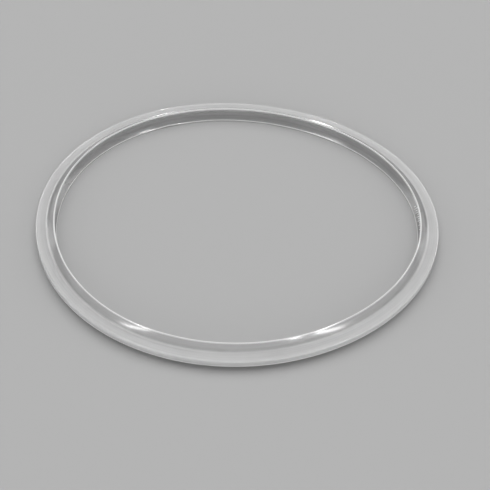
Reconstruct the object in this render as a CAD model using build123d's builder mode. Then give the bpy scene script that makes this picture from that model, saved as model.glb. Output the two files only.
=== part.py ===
from build123d import *
from math import cos, radians, sin, tan
import os

os.makedirs("parts", exist_ok=True)

# Sealing ring for the lid of a 24 cm stovetop pressure cooker, one silicone
# moulding, in millimetres. It lies flat with +Z up. The origin is the centre of
# the ring on the plane that its lower lip rests on.

outer_diameter = 240.0
ring_height = 10.0

# Solid flange that sits in the channel of the lid
flange_thickness = 4.0
flange_corner_radius = 0.7

# Two thin lips that open towards the middle, mirror images of each other
lip_foot_diameter = 228.2
lip_angle = 30.5
lip_tip_thickness = 1.0
lip_tip_corner_radius = 0.35
lip_foot_fillet = 1.5

# Groove between the lips, where the steam presses them apart
groove_root_diameter = 226.8
groove_root_fillet = 0.8

outer_radius = outer_diameter / 2
foot_radius = lip_foot_diameter / 2
root_radius = groove_root_diameter / 2

mid_height = ring_height / 2
flange_top = mid_height + flange_thickness / 2
flange_bottom = mid_height - flange_thickness / 2

# Each lip ends in a face square to its outer side. The rounded corner of that
# face is the highest point of the ring, so the sharp corner stands above it.
lip_sin = sin(radians(lip_angle))
lip_cos = cos(radians(lip_angle))
sharp_extra = lip_tip_corner_radius * (lip_sin + lip_cos - 1)
tip_top = ring_height + sharp_extra
tip_bottom = -sharp_extra
tip_radius = foot_radius - (tip_top - flange_top) / tan(radians(lip_angle))
tip_face_run = lip_tip_thickness * lip_sin
tip_face_drop = lip_tip_thickness * lip_cos

with BuildPart() as sealing_ring:
    with BuildSketch(Plane.XZ) as section:
        with BuildLine():
            Polyline(
                (root_radius, mid_height),
                (tip_radius - tip_face_run, tip_top - tip_face_drop),
                (tip_radius, tip_top),
                (foot_radius, flange_top),
                (outer_radius, flange_top),
                (outer_radius, flange_bottom),
                (foot_radius, flange_bottom),
                (tip_radius, tip_bottom),
                (tip_radius - tip_face_run, tip_bottom + tip_face_drop),
                close=True,
            )
        make_face()

        flange_corners = section.vertices().group_by(Axis.X)[-1]
        fillet(flange_corners, radius=flange_corner_radius)

        lip_feet = section.vertices().filter_by_position(
            Axis.X, foot_radius - 0.01, foot_radius + 0.01
        )
        fillet(lip_feet, radius=lip_foot_fillet)

        groove_root = section.vertices().filter_by_position(
            Axis.Y, mid_height - 0.01, mid_height + 0.01
        )
        fillet(groove_root, radius=groove_root_fillet)

        tip_corners = section.vertices().filter_by_position(Axis.X, 0, tip_radius + 0.01)
        fillet(tip_corners, radius=lip_tip_corner_radius)
    revolve(axis=Axis.Z)

sealing_ring.part.label = "sealing_ring"
export_step(sealing_ring.part, "parts/sealing_ring.step")
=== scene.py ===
"""Silicone sealing ring of a stovetop pressure cooker, lying flat on a pale floor.

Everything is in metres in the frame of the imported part: +Z up, origin at the
centre of the ring on the floor.
"""

import math

import bmesh
import bpy
from mathutils import Matrix, Vector


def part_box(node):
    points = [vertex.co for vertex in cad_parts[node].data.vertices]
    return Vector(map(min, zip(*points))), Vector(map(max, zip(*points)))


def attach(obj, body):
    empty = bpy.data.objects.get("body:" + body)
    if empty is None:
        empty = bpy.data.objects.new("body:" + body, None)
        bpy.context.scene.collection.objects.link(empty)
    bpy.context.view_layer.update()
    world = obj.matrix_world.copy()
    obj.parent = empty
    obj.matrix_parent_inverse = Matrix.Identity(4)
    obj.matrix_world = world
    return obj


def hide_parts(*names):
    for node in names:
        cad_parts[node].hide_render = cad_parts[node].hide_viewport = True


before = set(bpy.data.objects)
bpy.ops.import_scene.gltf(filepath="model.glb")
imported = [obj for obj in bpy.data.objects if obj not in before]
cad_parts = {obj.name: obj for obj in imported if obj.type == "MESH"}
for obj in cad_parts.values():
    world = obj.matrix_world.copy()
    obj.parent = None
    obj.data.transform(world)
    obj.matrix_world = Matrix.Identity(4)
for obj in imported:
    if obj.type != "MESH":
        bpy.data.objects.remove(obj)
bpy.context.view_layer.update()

MM = 0.001
NODE = "sealing_ring"

# ---------------------------------------------------------------- the section
# Sizes of the moulding in millimetres. The outside ones come from the frame.
node_low, node_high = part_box(NODE)
OUTER_RADIUS = round(node_high.x / MM, 1)
HEIGHT = round((node_high.z - node_low.z) / MM, 2)
FLANGE_THICKNESS = 4.0
FLANGE_CORNER = 0.7
FOOT_RADIUS = 114.1
FOOT_FILLET = 1.5
LIP_ANGLE = math.radians(30.5)
TIP_THICKNESS = 1.0
TIP_CORNER = 0.35
ROOT_RADIUS = 113.4
ROOT_FILLET = 0.8

MIDDLE = HEIGHT / 2
FLANGE_TOP = MIDDLE + FLANGE_THICKNESS / 2
# The upper lip's outer corner as it would be if it were sharp
TIP_TOP = HEIGHT + TIP_CORNER * (math.sin(LIP_ANGLE) + math.cos(LIP_ANGLE) - 1)
TIP_RADIUS = FOOT_RADIUS - (TIP_TOP - FLANGE_TOP) / math.tan(LIP_ANGLE)
# How far the face at the lip's end leans in and drops from that corner
TIP_INSET = TIP_THICKNESS * math.sin(LIP_ANGLE)
TIP_DROP = TIP_THICKNESS * math.cos(LIP_ANGLE)

# Fineness of the mesh: columns round the ring, points on a rounded corner, mm
AROUND = 700
CORNER_POINTS = 7
LONGEST_STEP = 0.42


def rounded(before, corner, after, radius):
    """Points of the arc that rounds one corner of the outline."""
    to_before = (Vector(before) - Vector(corner)).normalized()
    to_after = (Vector(after) - Vector(corner)).normalized()
    half = math.acos(max(-1.0, min(1.0, to_before.dot(to_after)))) / 2
    centre = Vector(corner) + (to_before + to_after).normalized() * radius / math.sin(half)
    first = Vector(corner) + to_before * radius / math.tan(half) - centre
    last = Vector(corner) + to_after * radius / math.tan(half) - centre
    turn = math.pi - 2 * half
    points = []
    for i in range(CORNER_POINTS):
        t = i / (CORNER_POINTS - 1)
        mixed = first * math.sin((1 - t) * turn) + last * math.sin(t * turn)
        points.append(centre + mixed / math.sin(turn))
    return points


def ring_section():
    """Outline of the moulding as (radius, height) points, starting in the groove."""
    upper = [
        ((TIP_RADIUS - TIP_INSET, TIP_TOP - TIP_DROP), TIP_CORNER),
        ((TIP_RADIUS, TIP_TOP), TIP_CORNER),
        ((FOOT_RADIUS, FLANGE_TOP), FOOT_FILLET),
        ((OUTER_RADIUS, FLANGE_TOP), FLANGE_CORNER),
    ]
    lower = [((r, HEIGHT - z), radius) for (r, z), radius in reversed(upper)]
    corners = [((ROOT_RADIUS, MIDDLE), ROOT_FILLET)] + upper + lower
    arcs = []
    for i, (corner, radius) in enumerate(corners):
        before = corners[i - 1][0]
        after = corners[(i + 1) % len(corners)][0]
        arcs += rounded(before, corner, after, radius)
    outline = []
    for i, point in enumerate(arcs):
        follow = arcs[(i + 1) % len(arcs)]
        steps = max(1, math.ceil((follow - point).length / LONGEST_STEP))
        outline += [point.lerp(follow, k / steps) for k in range(steps)]
    return outline


# ------------------------------------------------------------ how it lies
# A free ring is never quite round: it bulges at LOBES places, the first at LOBE_ANGLE.
LOBES = 3
LOBE_SIZE = 1.25
LOBE_ANGLE = math.radians(10)
# The soft lips relax a little differently from place to place.
# Each row is (waves round the ring, mm, phase).
LIP_WAVES = [(5, 0.05, 0.4), (8, 0.05, 2.1), (13, 0.035, 4.0), (21, 0.02, 1.2)]
# The upper lip drops where it strays outwards, by this share of the way
WAVE_LIFT = -0.6
# The lower lip has the same waves, further round by this angle
LOWER_WAVE_TURN = 1.0
# How far outwards each lip's end rests from where it was moulded, in mm
UPPER_TIP_SHIFT = 0.2
LOWER_TIP_SHIFT = -0.25
# A short stretch where the lower lip's end stands up: angle, half length, mm
RISE = (math.radians(116), math.radians(3.2), 0.45)
# Each lip is slightly dished along its reach: it leaves the flange flatter and ends steeper.
LIP_BOW = 0.16
LIP_REACH = 5.8


def lip_wave(angle):
    """How far a lip's end strays from its place at an angle round the ring, in mm."""
    return sum(size * math.cos(count * angle - phase) for count, size, phase in LIP_WAVES)


def rise(angle):
    """How far the lower lip's end stands up at an angle round the ring, in mm."""
    middle, half_length, height = RISE
    x = ((angle - middle + math.pi) % (2 * math.pi) - math.pi) / half_length
    return height * math.exp(-x * x)


def placed(radius, height, angle):
    """Where a point of the round section ends up once the ring lies relaxed."""
    along_lip = max(0.0, min(1.0, (FOOT_RADIUS - radius) / LIP_REACH))
    bow = LIP_BOW * 4 * along_lip * (1 - along_lip)
    if height > MIDDLE:
        shift = UPPER_TIP_SHIFT + lip_wave(angle)
        lift = WAVE_LIFT * lip_wave(angle) * along_lip - bow * math.cos(LIP_ANGLE)
    else:
        shift = LOWER_TIP_SHIFT + lip_wave(angle + LOWER_WAVE_TURN)
        lift = bow * math.cos(LIP_ANGLE) + rise(angle) * along_lip**2
    bulge = LOBE_SIZE * math.cos(LOBES * (angle - LOBE_ANGLE))
    r = radius + bulge + shift * along_lip - bow * math.sin(LIP_ANGLE)
    z = height + lift
    return Vector((r * math.cos(angle), r * math.sin(angle), z)) * MM


# --------------------------------------------------------------- the mesh
# The material changes along the section. All distances are in mm.
# A line inside each lip's wall, this far off the middle at the foot, parts its two sides.
WALL_LINE = 1.6
# Inwards from the foot or the root: where the thin lip ends, and where the thick part starts
OUTER_THINNING = (1.6, 0.2)
GROOVE_THINNING = (2.8, 0.7)
# Back from a lip's end, on its outward side and on its groove side: where the painted glow on
# its end fades
OUTER_TIP_FADE = (0.5, 1.05)
GROOVE_TIP_FADE = (0.35, 0.8)
# Across the upper lip's end face: where its painted glow gets weaker, and by how much
END_FACE_FADE = (0.02, 0.25)
END_FACE_LOSS = 0.4
# The flange's lower corner, which gets a painted glow against the shadow under the flange:
# inwards from the outside and down from the middle
CORNER_FADE_IN = (1.2, 0.5)
CORNER_FADE_DOWN = (0.7, 1.3)
# How far the sides that face the groove are darkened towards the lip's colour, where a thin
# lip's outward side is 1; this is painted shade of the groove, its thick root included
GROOVE_PAINTED_SHADE = 0.55


def smoothstep(low, high, value):
    """0 up to low, 1 from high on, and a smooth rise between them."""
    t = max(0.0, min(1.0, (value - low) / (high - low)))
    return t * t * (3 - 2 * t)


def outward_side(point):
    """True on the flange and the lips' outer sides, False in the groove between the lips."""
    line = (FOOT_RADIUS - point.x) * math.tan(LIP_ANGLE) + WALL_LINE
    return abs(point.y - MIDDLE) > line


def thinness(point):
    """1 where the wall is as thin as a lip, 0 where it is as thick as the flange."""
    if outward_side(point):
        thin, thick = (FOOT_RADIUS - d for d in OUTER_THINNING)
    else:
        thin, thick = (ROOT_RADIUS - d for d in GROOVE_THINNING)
    return 1 - smoothstep(thin, thick, point.x)


# The lips' ends get a painted glow: this mask brightens their colour, and also makes them more
# opaque and less scattering.
def tip_glow_zone(point):
    """1 on the end of a lip, fading out within about a millimetre along its sides.

    On the upper lip it also gets weaker across the end face.
    """
    inward = point.x - TIP_RADIUS
    upward = MIDDLE + abs(point.y - MIDDLE) - TIP_TOP
    back = inward * math.cos(LIP_ANGLE) - upward * math.sin(LIP_ANGLE)
    across = -inward * math.sin(LIP_ANGLE) - upward * math.cos(LIP_ANGLE)
    fade = OUTER_TIP_FADE if across < TIP_THICKNESS / 2 else GROOVE_TIP_FADE
    zone = 1 - smoothstep(*fade, back)
    if point.y > MIDDLE:
        zone *= 1 - END_FACE_LOSS * smoothstep(*END_FACE_FADE, across)
    return zone


# The flange's lower outer corner gets a painted glow, as the lips' ends do.
def corner_glow_zone(point):
    """1 on the flange's lower outer corner, fading out along its two sides."""
    inner, outer = (OUTER_RADIUS - d for d in CORNER_FADE_IN)
    return smoothstep(inner, outer, point.x) * smoothstep(*CORNER_FADE_DOWN, MIDDLE - point.y)


def add_values(mesh, name, values):
    """Store one number for each point, for the material to read."""
    mesh.attributes.new(name, "FLOAT", "POINT").data.foreach_set("value", values)


def build_ring():
    """The moulding: its section carried round the ring, as the ring lies."""
    outline = ring_section()
    count = len(outline)
    mesh = bpy.data.meshes.new("silicone_ring")
    vertices = []
    faces = []
    for k in range(AROUND):
        angle = 2 * math.pi * k / AROUND
        vertices += [placed(p.x, p.y, angle) for p in outline]
        here = k * count
        there = ((k + 1) % AROUND) * count
        for j in range(count):
            n = (j + 1) % count
            faces.append((here + j, here + n, there + n, there + j))
    mesh.from_pydata(vertices, [], faces)
    bm = bmesh.new()
    bm.from_mesh(mesh)
    bmesh.ops.recalc_face_normals(bm, faces=bm.faces)
    bm.to_mesh(mesh)
    bm.free()
    mesh.shade_smooth()

    # Per-point facts about the section that the material reads
    travelled = [0.0]
    for a, b in zip(outline, outline[1:]):
        travelled.append(travelled[-1] + (b - a).length)
    thin = [thinness(p) for p in outline]
    # Where a glow is painted on the lips' ends and the flange's lower corner; there the wall is
    # also more opaque and scatters less
    glow_edge = [max(tip_glow_zone(p), corner_glow_zone(p)) for p in outline]
    # Darker where the lips are thin, and on every groove-facing side as painted shade of the
    # groove
    thin_and_groove_shade = [thinness(p) if outward_side(p) else GROOVE_PAINTED_SHADE for p in outline]
    add_values(mesh, "section_arc", travelled * AROUND)
    add_values(mesh, "thin", thin * AROUND)
    add_values(mesh, "glow_edge", glow_edge * AROUND)
    add_values(mesh, "thin_and_groove_shade", thin_and_groove_shade * AROUND)

    ring = bpy.data.objects.new("silicone_ring", mesh)
    bpy.context.scene.collection.objects.link(ring)
    return ring


# A row of short plain ribs stands across the inner side of the lower lip. Angles are
# in degrees and sizes in mm, and long and short ribs take turns.
RIB_COUNT = 12
FIRST_RIB = -1.4
RIB_SPACING = 1.0
RIB_CENTRE = 110.3
RIB_HALF_LENGTHS = (1.15, 0.7)
RIB_HALF_WIDTH = 0.45
RIB_HEIGHT = 0.3
# What the material reads on the ribs; their high glow value gives them most of the painted glow
RIB_LOOK = {"section_arc": 0.0, "thin": 0.3, "glow_edge": 0.9, "thin_and_groove_shade": 0.3}


def build_ribs():
    """The row of ribs, each a flattened ball half sunk into the lip."""
    lip_end = TIP_RADIUS - TIP_INSET
    slope = math.atan2(MIDDLE - TIP_DROP, ROOT_RADIUS - lip_end)
    height = TIP_DROP + (RIB_CENTRE - lip_end) * math.tan(slope)
    bm = bmesh.new()
    for i in range(RIB_COUNT):
        angle = math.radians(FIRST_RIB + RIB_SPACING * i)
        centre = placed(RIB_CENTRE, height, angle)
        outward = Vector((math.cos(angle), math.sin(angle), 0))
        up = Vector((0, 0, 1))
        along_face = outward * math.cos(slope) + up * math.sin(slope)
        normal = up * math.cos(slope) - outward * math.sin(slope)
        around = normal.cross(along_face)
        axes = Matrix((along_face, around, normal)).transposed().to_4x4()
        half_length = RIB_HALF_LENGTHS[i % 2]
        size = Matrix.Diagonal((half_length * MM, RIB_HALF_WIDTH * MM, RIB_HEIGHT * MM, 1))
        where = Matrix.Translation(centre) @ axes @ size
        bmesh.ops.create_uvsphere(bm, u_segments=20, v_segments=12, radius=1.0, matrix=where)
    mesh = bpy.data.meshes.new("mould_ribs")
    bm.to_mesh(mesh)
    bm.free()
    mesh.shade_smooth()
    for name, value in RIB_LOOK.items():
        add_values(mesh, name, [value] * len(mesh.vertices))
    ribs = bpy.data.objects.new("mould_ribs", mesh)
    bpy.context.scene.collection.objects.link(ribs)
    return ribs


# --------------------------------------------------------------- materials
# Brightness of the silicone where it is thick and in the thin lips, and the painted glow on the
# lips' ends and the flange's lower corner
BODY_BRIGHTNESS = 0.57
LIP_BRIGHTNESS = 0.29
PAINTED_EDGE_GLOW = 0.86
# How opaque the same places are
MILKY_FLANGE = 0.88
MILKY_LIP = 0.52
MILKY_EDGE = 1.0
# Light spreads this far inside, in mm, and this part of it does so at the edges
SCATTER_REACH = 10.0
EDGE_SCATTER = 0.3
REFRACTIVE_INDEX = 1.41
SHINE = 0.75

# Noise mostly stays between these two values
NOISE_RANGE = (0.3, 0.7)
# Clouds and grain: waves in a metre
CLOUD_SCALE = 28.0
CLOUD_DETAIL = 3.0
CLOUD_CHANGE = (0.96, 1.03)
# Turned marks: waves in a metre along the ring, and in a millimetre across it
MARKS_ALONG = 9.0
MARKS_ACROSS = 1.15
MARK_CHANGE = (0.92, 1.08)
MARK_ROUGHNESS = (0.12, 0.17)
GRAIN_SCALE = 1400.0
# Relief: strength, and height in mm
MARK_BUMP = (0.12, 0.02)
GRAIN_BUMP = (0.1, 0.01)
# A wall turns opaque with this power of how far it is seen aslant.
ASLANT_POWER = 2.0

FLOOR_BRIGHTNESS = 0.45
FLOOR_ROUGHNESS = 0.9
FLOOR_SHINE = 0.1


def grey(brightness):
    return (brightness, brightness, brightness, 1)


def feed(tree, socket, source):
    """Link a socket to another one, or set it to a constant."""
    if isinstance(source, bpy.types.NodeSocket):
        tree.links.new(source, socket)
    else:
        socket.default_value = source


def attribute(tree, name):
    node = tree.nodes.new("ShaderNodeAttribute")
    node.attribute_name = name
    return node.outputs["Fac"]


def noise(tree, vector, scale, detail=2.0):
    node = tree.nodes.new("ShaderNodeTexNoise")
    feed(tree, node.inputs["Vector"], vector)
    feed(tree, node.inputs["Scale"], scale)
    feed(tree, node.inputs["Detail"], detail)
    return node.outputs["Fac"]


def remap(tree, value, source, target):
    """Stretch the range of a value from source to target."""
    node = tree.nodes.new("ShaderNodeMapRange")
    feed(tree, node.inputs["Value"], value)
    for name, number in zip(("From Min", "From Max", "To Min", "To Max"), source + target):
        feed(tree, node.inputs[name], number)
    return node.outputs["Result"]


def calculate(tree, operation, first, second):
    node = tree.nodes.new("ShaderNodeMath")
    node.operation = operation
    feed(tree, node.inputs[0], first)
    feed(tree, node.inputs[1], second)
    return node.outputs[0]


def mix_numbers(tree, share, first, second):
    """The first number where the share is 0, the second where it is 1.

    A Mix node has its sockets for numbers at 2 and 3, and those for colours at 6 and 7.
    """
    node = tree.nodes.new("ShaderNodeMix")
    feed(tree, node.inputs[0], share)
    feed(tree, node.inputs[2], first)
    feed(tree, node.inputs[3], second)
    return node.outputs[0]


def mix_colours(tree, share, first, second, blend="MIX"):
    node = tree.nodes.new("ShaderNodeMix")
    node.data_type = "RGBA"
    node.blend_type = blend
    feed(tree, node.inputs[0], share)
    feed(tree, node.inputs[6], first)
    feed(tree, node.inputs[7], second)
    return node.outputs[2]


def bump(tree, height, strength, distance, below=None):
    """Surface relief, on top of the relief that another bump made."""
    node = tree.nodes.new("ShaderNodeBump")
    feed(tree, node.inputs["Strength"], strength)
    feed(tree, node.inputs["Distance"], distance * MM)
    feed(tree, node.inputs["Height"], height)
    if below is not None:
        feed(tree, node.inputs["Normal"], below)
    return node.outputs["Normal"]


def turned_marks(tree, position):
    """Marks left by the mould: long round the ring, narrow across its section."""
    apart = tree.nodes.new("ShaderNodeSeparateXYZ")
    feed(tree, apart.inputs[0], position)
    squeeze = tree.nodes.new("ShaderNodeCombineXYZ")
    arc = attribute(tree, "section_arc")
    feed(tree, squeeze.inputs["X"], calculate(tree, "MULTIPLY", apart.outputs["X"], MARKS_ALONG))
    feed(tree, squeeze.inputs["Y"], calculate(tree, "MULTIPLY", apart.outputs["Y"], MARKS_ALONG))
    feed(tree, squeeze.inputs["Z"], calculate(tree, "MULTIPLY", arc, MARKS_ACROSS))
    return noise(tree, squeeze.outputs[0], 1.0)


def silicone_material():
    """Translucent silicone: milky where it is thick, see-through in the lips, with a painted
    glow on the lips' ends and painted shade on the groove's sides.
    """
    material = bpy.data.materials.new("translucent_silicone")
    material.use_nodes = True
    tree = material.node_tree
    shader = tree.nodes["Principled BSDF"].inputs
    shader["Subsurface Radius"].default_value = (1.0, 1.0, 1.0)
    shader["Subsurface Scale"].default_value = SCATTER_REACH * MM
    shader["IOR"].default_value = REFRACTIVE_INDEX
    shader["Specular IOR Level"].default_value = SHINE

    thin = attribute(tree, "thin")
    glow_edge = attribute(tree, "glow_edge")
    thin_and_groove_shade = attribute(tree, "thin_and_groove_shade")
    position = tree.nodes.new("ShaderNodeTexCoord").outputs["Object"]
    marks = turned_marks(tree, position)

    # Cloudiness a few centimetres across, a painted glow on the lips' ends and the lower corner,
    # and the turned marks over both
    clouds = noise(tree, position, CLOUD_SCALE, CLOUD_DETAIL)
    cloud = remap(tree, clouds, NOISE_RANGE, CLOUD_CHANGE)
    # Darker in the thin lips, and on the groove's sides as painted shade
    body = mix_colours(tree, thin_and_groove_shade, grey(BODY_BRIGHTNESS), grey(LIP_BRIGHTNESS))
    clouded = mix_colours(tree, 1.0, body, cloud, "MULTIPLY")
    with_painted_glow = mix_colours(tree, glow_edge, clouded, grey(PAINTED_EDGE_GLOW))
    streak = remap(tree, marks, NOISE_RANGE, MARK_CHANGE)
    feed(tree, shader["Base Color"], mix_colours(tree, 1.0, with_painted_glow, streak, "MULTIPLY"))

    # Each wall is seen once, by its front face. The thin lips let more through than
    # the flange, the edges hardly any, and every wall less where it is seen aslant.
    milky = remap(tree, thin, (0.0, 1.0), (MILKY_FLANGE, MILKY_LIP))
    milky_edge = mix_numbers(tree, glow_edge, milky, MILKY_EDGE)
    aslant = tree.nodes.new("ShaderNodeLayerWeight")
    aslant.inputs["Blend"].default_value = 0.5
    grazing = calculate(tree, "POWER", aslant.outputs["Facing"], ASLANT_POWER)
    long_way = mix_numbers(tree, grazing, milky_edge, 1.0)
    back = tree.nodes.new("ShaderNodeNewGeometry").outputs["Backfacing"]
    feed(tree, shader["Alpha"], mix_numbers(tree, back, long_way, 0.0))

    # Light spreads inside the silicone, but the edges send it straight back
    inside = remap(tree, glow_edge, (0.0, 1.0), (1.0, EDGE_SCATTER))
    feed(tree, shader["Subsurface Weight"], inside)

    feed(tree, shader["Roughness"], remap(tree, marks, NOISE_RANGE, MARK_ROUGHNESS))
    grain = noise(tree, position, GRAIN_SCALE)
    feed(tree, shader["Normal"], bump(tree, grain, *GRAIN_BUMP, bump(tree, marks, *MARK_BUMP)))
    return material


def floor_material():
    material = bpy.data.materials.new("floor_paint")
    material.use_nodes = True
    shader = material.node_tree.nodes["Principled BSDF"].inputs
    shader["Base Color"].default_value = grey(FLOOR_BRIGHTNESS)
    shader["Roughness"].default_value = FLOOR_ROUGHNESS
    shader["Specular IOR Level"].default_value = FLOOR_SHINE
    return material


ring = build_ring()
silicone = silicone_material()
ring.data.materials.append(silicone)
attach(ring, "root")
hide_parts(NODE)

ribs = build_ribs()
ribs.data.materials.append(silicone)
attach(ribs, "root")

# ------------------------------------------------------------------- stage
# In metres
FLOOR_HALF = 6.0
SOFTBOX_DISTANCE = 1.3
SUN_DISTANCE = 3.0

# Softboxes: name, azimuth and elevation in degrees, width and height in metres, watts
SOFTBOXES = [
    ("right_softbox", 70.2, 52.8, 0.26, 0.042, 2.9),
    ("right_small_softbox", 48.5, 56, 0.09, 0.04, 1.1),
    ("left_softbox", -69, 53.4, 0.29, 0.042, 2.4),
    ("right_rim", 142, 24, 0.9, 0.36, 3.4),
    ("left_rim", -142, 24, 0.9, 0.36, 3.4),
    ("right_back", 169.2, 11, 0.045, 0.2, 1.5),
    ("left_back", -170.6, 11, 0.045, 0.2, 1.5),
]
# Even light: name, azimuth, elevation and spread in degrees, strength
WIDE_LIGHTS = [
    ("overhead", 180, 76, 80, 1.85),
    ("front_fill", 0, 10, 34, 1.05),
    ("right_fill", 95, 22, 44, 0.5),
    ("left_fill", -95, 22, 44, 0.5),
]
ROOM_BRIGHTNESS = 0.42
ROOM_STRENGTH = 0.6

floor_mesh = bpy.data.meshes.new("floor")
floor_mesh.from_pydata(
    [(x * FLOOR_HALF, y * FLOOR_HALF, 0.0) for x, y in ((-1, -1), (1, -1), (1, 1), (-1, 1))],
    [],
    [(0, 1, 2, 3)],
)
floor = bpy.data.objects.new("floor", floor_mesh)
bpy.context.scene.collection.objects.link(floor)
floor.data.materials.append(floor_material())


def lamp(light, azimuth, elevation, distance):
    """Aim a light at the ring. Azimuth 0 is the camera's side, positive to the right."""
    a = math.radians(azimuth)
    e = math.radians(elevation)
    away = Vector((math.sin(a) * math.cos(e), -math.cos(a) * math.cos(e), math.sin(e)))
    holder = bpy.data.objects.new(light.name, light)
    holder.location = away * distance
    holder.rotation_euler = (-away).to_track_quat("-Z", "Y").to_euler()
    bpy.context.scene.collection.objects.link(holder)
    return holder


def softbox(name, azimuth, elevation, width, height, power):
    """A softbox that only makes highlights."""
    light = bpy.data.lights.new(name, "AREA")
    light.shape = "RECTANGLE"
    light.size = width
    light.size_y = height
    light.energy = power
    holder = lamp(light, azimuth, elevation, SOFTBOX_DISTANCE)
    holder.visible_diffuse = False
    holder.visible_camera = False


def wide_light(name, azimuth, elevation, spread, strength):
    """Even light from a wide patch of the room, far away, that makes no highlights."""
    light = bpy.data.lights.new(name, "SUN")
    light.angle = math.radians(spread)
    light.energy = strength
    holder = lamp(light, azimuth, elevation, SUN_DISTANCE)
    holder.visible_glossy = False


for name, azimuth, elevation, width, height, power in SOFTBOXES:
    softbox(name, azimuth, elevation, width, height, power)
for name, azimuth, elevation, spread, strength in WIDE_LIGHTS:
    wide_light(name, azimuth, elevation, spread, strength)

world = bpy.data.worlds.new("studio")
world.use_nodes = True
background = world.node_tree.nodes["Background"].inputs
background["Color"].default_value = grey(ROOM_BRIGHTNESS)
background["Strength"].default_value = ROOM_STRENGTH
bpy.context.scene.world = world

# ------------------------------------------------------------------ camera
CAMERA_DISTANCE = 0.68
CAMERA_ELEVATION = math.radians(39.8)
CAMERA_ROLL = math.radians(1.9)
LENS = 82.8
SHIFT = (0.019, -0.0444)
NEAR_CLIP = 0.01

camera_data = bpy.data.cameras.new("camera")
camera_data.sensor_width = 36.0
camera_data.lens = LENS
camera_data.shift_x, camera_data.shift_y = SHIFT
camera_data.clip_start = NEAR_CLIP
camera = bpy.data.objects.new("camera", camera_data)
sin_e = math.sin(CAMERA_ELEVATION)
cos_e = math.cos(CAMERA_ELEVATION)
facing = Matrix(
    (
        (1, 0, 0, 0),
        (0, sin_e, -cos_e, -CAMERA_DISTANCE * cos_e),
        (0, cos_e, sin_e, CAMERA_DISTANCE * sin_e),
        (0, 0, 0, 1),
    )
)
camera.matrix_world = facing @ Matrix.Rotation(CAMERA_ROLL, 4, "Z")
bpy.context.scene.collection.objects.link(camera)
bpy.context.scene.camera = camera
bpy.context.scene.view_settings.view_transform = "Standard"

# ------------------------------------------------------------------ update
bpy.context.view_layer.update()
